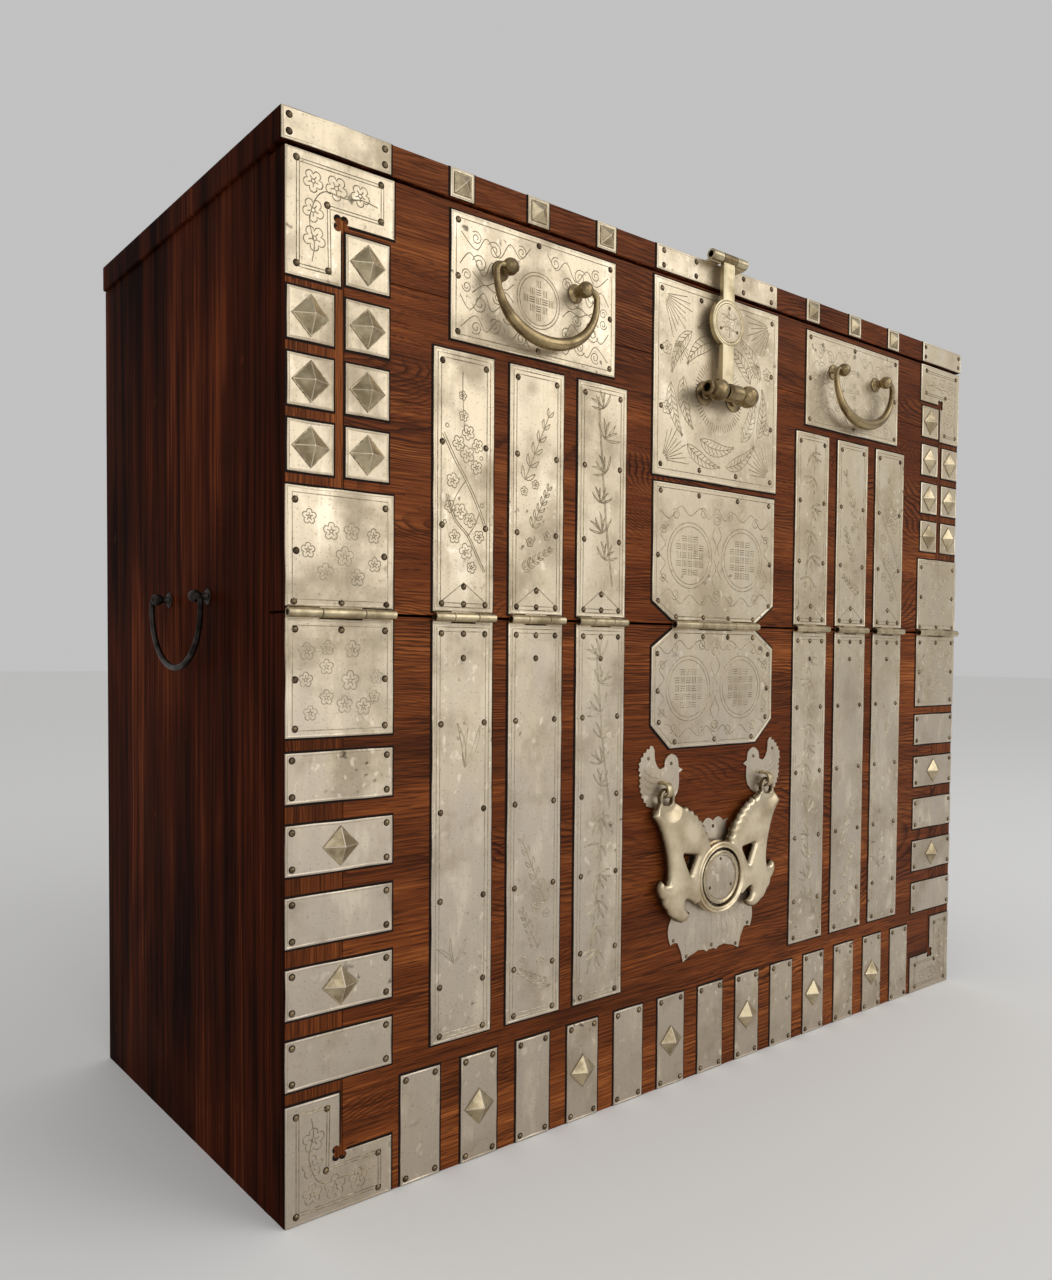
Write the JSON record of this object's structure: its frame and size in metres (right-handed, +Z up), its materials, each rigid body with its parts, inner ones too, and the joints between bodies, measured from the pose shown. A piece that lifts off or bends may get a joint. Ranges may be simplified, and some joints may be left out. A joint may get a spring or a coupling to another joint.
{
  "type": "drop-front blanket chest",
  "caption": "Plank chest with a drop flap on face-mounted hinges, a hinged hasp, nailed trim plates, bail handles and a pierced cast drop handle.",
  "frame": {"origin": "centre of the case's footprint on the floor, midway between the front and back faces of the boards", "axes": "+X to the right seen from the front, +Y to the back, +Z up; the flap is at -Y"},
  "size_m": [1.029, 0.4625, 0.868],
  "materials": {
    "front_wood": "semi-gloss lacquer over strong reddish-brown figure",
    "case_wood": "glossy very dark red-brown stain",
    "plate_metal": "pale nickel-brass sheet, tarnished and engraved",
    "cast_brass": "antique cast brass, dull",
    "dark_iron": "blackened iron wire and pins"
  },
  "bodies": {
    "chest": {"back_board": "case_wood", "bottom_board": "case_wood", "catch_plate": "plate_metal", "centre_hinge_lower_leaf": "plate_metal", "centre_hinge_pin": "dark_iron", "drop_back_plate": "plate_metal", "front_board": "front_wood", "left_bird_plate": "plate_metal", "left_corner_hinge_lower_leaf": "plate_metal", "left_corner_hinge_pin": "dark_iron", "left_drop_staple": "cast_brass", "left_side": "case_wood", "left_side_handle_back_post": "dark_iron", "left_side_handle_front_post": "dark_iron", "left_strap_hinge_1_lower_leaf": "plate_metal", "left_strap_hinge_1_pin": "dark_iron", "left_strap_hinge_2_lower_leaf": "plate_metal", "left_strap_hinge_2_pin": "dark_iron", "left_strap_hinge_3_lower_leaf": "plate_metal", "left_strap_hinge_3_pin": "dark_iron", "right_bird_plate": "plate_metal", "right_corner_hinge_lower_leaf": "plate_metal", "right_corner_hinge_pin": "dark_iron", "right_drop_staple": "cast_brass", "right_side": "case_wood", "right_side_handle_back_post": "dark_iron", "right_side_handle_front_post": "dark_iron", "right_strap_hinge_1_lower_leaf": "plate_metal", "right_strap_hinge_1_pin": "dark_iron", "right_strap_hinge_2_lower_leaf": "plate_metal", "right_strap_hinge_2_pin": "dark_iron", "right_strap_hinge_3_lower_leaf": "plate_metal", "right_strap_hinge_3_pin": "dark_iron", "top_board": "case_wood"},
    "flap": {"centre_hinge_upper_leaf": "plate_metal", "flap_board": "front_wood", "left_corner_hinge_upper_leaf": "plate_metal", "left_flap_handle_left_post": "cast_brass", "left_flap_handle_plate": "plate_metal", "left_flap_handle_right_post": "cast_brass", "left_lock_post": "cast_brass", "left_strap_hinge_1_upper_leaf": "plate_metal", "left_strap_hinge_2_upper_leaf": "plate_metal", "left_strap_hinge_3_upper_leaf": "plate_metal", "lock_pin": "dark_iron", "lock_plate": "plate_metal", "right_corner_hinge_upper_leaf": "plate_metal", "right_flap_handle_left_post": "cast_brass", "right_flap_handle_plate": "plate_metal", "right_flap_handle_right_post": "cast_brass", "right_lock_post": "cast_brass", "right_strap_hinge_1_upper_leaf": "plate_metal", "right_strap_hinge_2_upper_leaf": "plate_metal", "right_strap_hinge_3_upper_leaf": "plate_metal"},
    "hasp": {"hasp": "cast_brass"},
    "left_flap_bail": {"left_flap_handle_bail": "cast_brass"},
    "right_flap_bail": {"right_flap_handle_bail": "cast_brass"},
    "drop_grip": {"drop_handle": "cast_brass"},
    "left_side_bail": {"left_side_handle_bail": "dark_iron"},
    "right_side_bail": {"right_side_handle_bail": "dark_iron"}
  },
  "joints": [
    {"name": "flap_hinge", "type": "hinge", "parent": "chest", "child": "flap", "pos_m": [0, -0.2195, 0.48], "axis": [1, 0, 0], "range_deg": [0, 160]},
    {"name": "hasp_hinge", "type": "hinge", "parent": "flap", "child": "hasp", "pos_m": [0, -0.236, 0.722], "axis": [-1, 0, 0], "range_deg": [-175, 0]},
    {"name": "left_flap_bail_hinge", "type": "hinge", "parent": "flap", "child": "left_flap_bail", "pos_m": [-0.249, -0.231, 0.784], "axis": [1, 0, 0], "range_deg": [-100, 0]},
    {"name": "right_flap_bail_hinge", "type": "hinge", "parent": "flap", "child": "right_flap_bail", "pos_m": [0.249, -0.231, 0.784], "axis": [1, 0, 0], "range_deg": [-100, 0]},
    {"name": "drop_handle_hinge", "type": "hinge", "parent": "chest", "child": "drop_grip", "pos_m": [0, -0.22255, 0.311], "axis": [1, 0, 0], "range_deg": [-95, 0]},
    {"name": "left_side_bail_hinge", "type": "hinge", "parent": "chest", "child": "left_side_bail", "pos_m": [-0.509, -0.02, 0.497], "axis": [0, 1, 0], "range_deg": [0, 100]},
    {"name": "right_side_bail_hinge", "type": "hinge", "parent": "chest", "child": "right_side_bail", "pos_m": [0.509, -0.02, 0.497], "axis": [0, -1, 0], "range_deg": [0, 100]}
  ]
}
